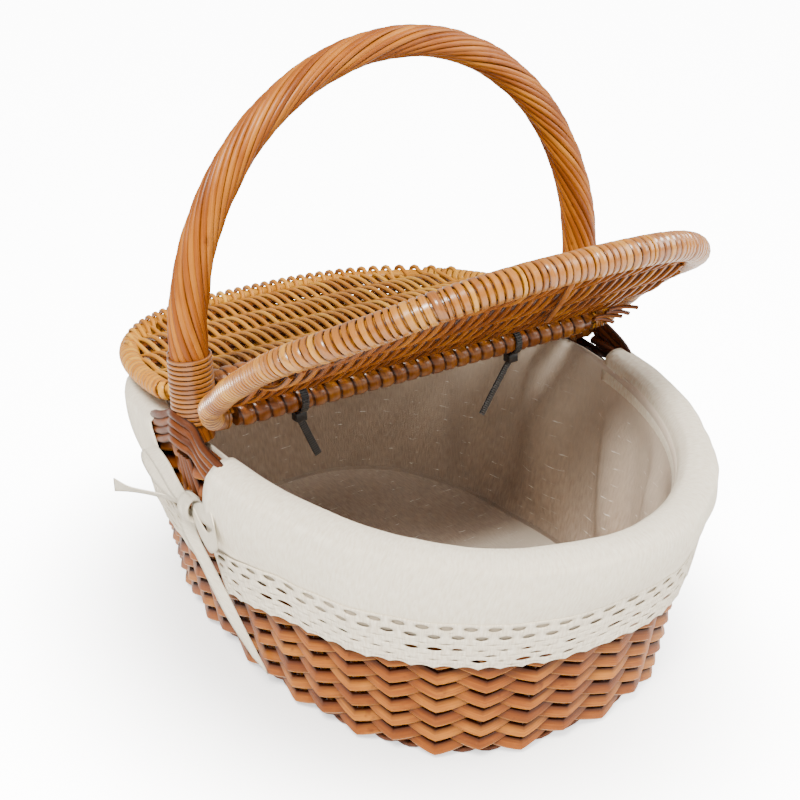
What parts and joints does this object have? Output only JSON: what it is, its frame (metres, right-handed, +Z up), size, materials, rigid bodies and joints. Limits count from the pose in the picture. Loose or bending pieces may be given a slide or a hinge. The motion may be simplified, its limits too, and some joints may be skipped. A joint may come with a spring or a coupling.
{
  "type": "wicker picnic basket",
  "caption": "Oval willow picnic basket with a roped arch handle, two hinged woven lids and a cotton lining with lace cuffs tied by ribbon bows.",
  "frame": {"origin": "centre of the bounding box on the ground, under the handle", "axes": "+Z up; +Y along the basket towards the closed lid; +X across, along the handle's span"},
  "size_m": [0.2738, 0.3578, 0.3157],
  "materials": {
    "buff_willow": "satin",
    "brown_willow": "satin",
    "cotton": "matte",
    "cable_tie_nylon": "satin"
  },
  "bodies": {
    "basket": {"base_weave": "buff_willow", "base_cross_sticks": "buff_willow", "foot_border": "buff_willow", "side_stakes": "buff_willow", "weave_row_01": "buff_willow", "weave_row_02": "buff_willow", "weave_row_03": "buff_willow", "weave_row_04": "buff_willow", "weave_row_05": "buff_willow", "weave_row_06": "buff_willow", "weave_row_07": "buff_willow", "weave_row_08": "buff_willow", "weave_row_09": "buff_willow", "weave_row_10": "buff_willow", "weave_row_11": "buff_willow", "weave_row_12": "buff_willow", "rim_border_back": "buff_willow", "rim_border_front": "buff_willow", "rim_lashing_left_lower": "brown_willow", "rim_lashing_left_upper": "brown_willow", "rim_lashing_right_lower": "brown_willow", "rim_lashing_right_upper": "brown_willow", "handle_core": "buff_willow", "handle_rope": "buff_willow", "handle_binding_left": "buff_willow", "handle_binding_right": "buff_willow", "handle_tail_left": "brown_willow", "handle_tail_right": "brown_willow", "crossbar_rod_front": "buff_willow", "crossbar_rod_back": "buff_willow", "crossbar_wrap": "buff_willow", "cable_tie_front_left": "cable_tie_nylon", "cable_tie_front_right": "cable_tie_nylon", "cable_tie_back_left": "cable_tie_nylon", "cable_tie_back_right": "cable_tie_nylon", "liner_bag": "cotton", "liner_cuff_front": "cotton", "liner_cuff_back": "cotton", "lace_trim_front": "cotton", "lace_trim_back": "cotton", "ribbon_bow_left": "cotton", "ribbon_bow_right": "cotton"},
    "lid_front": {"lid_front_bar": "brown_willow", "lid_front_hoop": "buff_willow", "lid_front_weave": "buff_willow", "lid_front_stake_1": "brown_willow", "lid_front_stake_2": "brown_willow", "lid_front_stake_3": "brown_willow", "lid_front_stake_4": "brown_willow"},
    "lid_back": {"lid_back_bar": "brown_willow", "lid_back_hoop": "buff_willow", "lid_back_weave": "buff_willow", "lid_back_stake_1": "brown_willow", "lid_back_stake_2": "brown_willow", "lid_back_stake_3": "brown_willow", "lid_back_stake_4": "brown_willow"}
  },
  "joints": [
    {"name": "lid_front_hinge", "type": "hinge", "parent": "basket", "child": "lid_front", "pos_m": [0, -0.0203, 0.148], "axis": [-1, 0, 0], "range_deg": [-41.5, 52]},
    {"name": "lid_back_hinge", "type": "hinge", "parent": "basket", "child": "lid_back", "pos_m": [0, 0.0203, 0.148], "axis": [1, 0, 0], "range_deg": [0, 93.5]}
  ]
}
